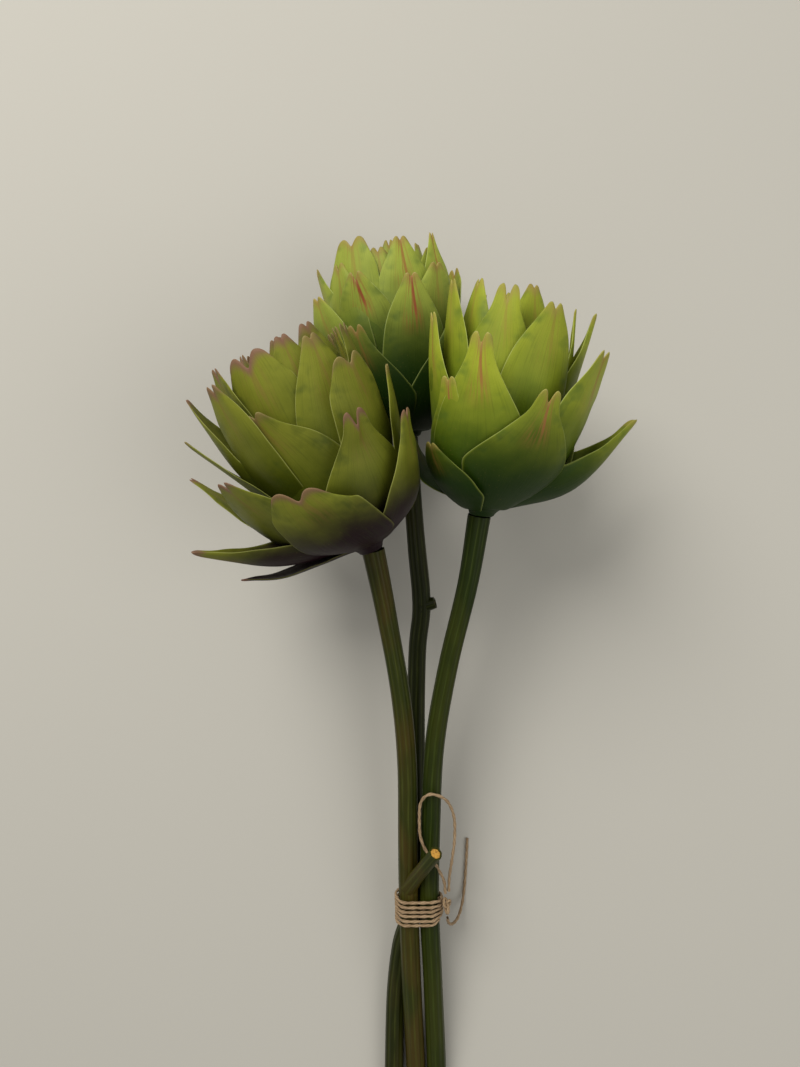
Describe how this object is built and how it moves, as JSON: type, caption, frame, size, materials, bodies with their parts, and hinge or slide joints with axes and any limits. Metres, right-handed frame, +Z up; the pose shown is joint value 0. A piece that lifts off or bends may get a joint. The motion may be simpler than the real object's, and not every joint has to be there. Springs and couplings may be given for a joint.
{
  "type": "tied bunch of globe artichokes",
  "caption": "Globe artichokes on long ribbed stems, held together by turns of paper twine with a knot, a loop and a loose tail; the bunch lies on a surface",
  "frame": {"origin": "on the surface that the bunch lies on, under the middle of its box without the loose twine", "axes": "+Y along the bunch from the cut stem ends to the heads, +Z up from the surface, +X to the right seen from above with the heads away"},
  "size_m": [0.2388, 0.5248, 0.1486],
  "materials": {
    "heart_green": "fleshy plant tissue, satin, pale green inner bud",
    "left_bract_green": "waxy bract skin, olive green, purple at the base and brown at the tip",
    "right_bract_green": "waxy bract skin, yellow green, deeper green at the base, rusty streaks at the tip",
    "back_bract_green": "waxy bract skin, light green, rusty streaks at the tip",
    "stem_green": "ribbed plant stem, dark green, satin",
    "twine_tan": "twisted paper twine, matte tan"
  },
  "bodies": {
    "root": {"left_heart": "heart_green", "left_bract_01": "left_bract_green", "left_bract_02": "left_bract_green", "left_bract_03": "left_bract_green", "left_bract_04": "left_bract_green", "left_bract_05": "left_bract_green", "left_bract_06": "left_bract_green", "left_bract_07": "left_bract_green", "left_bract_08": "left_bract_green", "left_bract_09": "left_bract_green", "left_bract_10": "left_bract_green", "left_bract_11": "left_bract_green", "left_bract_12": "left_bract_green", "left_bract_13": "left_bract_green", "left_bract_14": "left_bract_green", "left_bract_15": "left_bract_green", "left_bract_16": "left_bract_green", "left_bract_17": "left_bract_green", "left_bract_18": "left_bract_green", "left_bract_19": "left_bract_green", "left_stem": "stem_green", "right_heart": "heart_green", "right_bract_01": "right_bract_green", "right_bract_02": "right_bract_green", "right_bract_03": "right_bract_green", "right_bract_04": "right_bract_green", "right_bract_05": "right_bract_green", "right_bract_06": "right_bract_green", "right_bract_07": "right_bract_green", "right_bract_08": "right_bract_green", "right_bract_09": "right_bract_green", "right_bract_10": "right_bract_green", "right_bract_11": "right_bract_green", "right_bract_12": "right_bract_green", "right_bract_13": "right_bract_green", "right_bract_14": "right_bract_green", "right_bract_15": "right_bract_green", "right_bract_16": "right_bract_green", "right_stem": "stem_green", "back_heart": "heart_green", "back_bract_01": "back_bract_green", "back_bract_02": "back_bract_green", "back_bract_03": "back_bract_green", "back_bract_04": "back_bract_green", "back_bract_05": "back_bract_green", "back_bract_06": "back_bract_green", "back_bract_07": "back_bract_green", "back_bract_08": "back_bract_green", "back_bract_09": "back_bract_green", "back_bract_10": "back_bract_green", "back_bract_11": "back_bract_green", "back_bract_12": "back_bract_green", "back_bract_13": "back_bract_green", "back_bract_14": "back_bract_green", "back_bract_15": "back_bract_green", "back_stem": "stem_green", "twine_wrap": "twine_tan", "twine_knot": "twine_tan", "twine_loop": "twine_tan", "twine_tail": "twine_tan"}
  },
  "joints": []
}
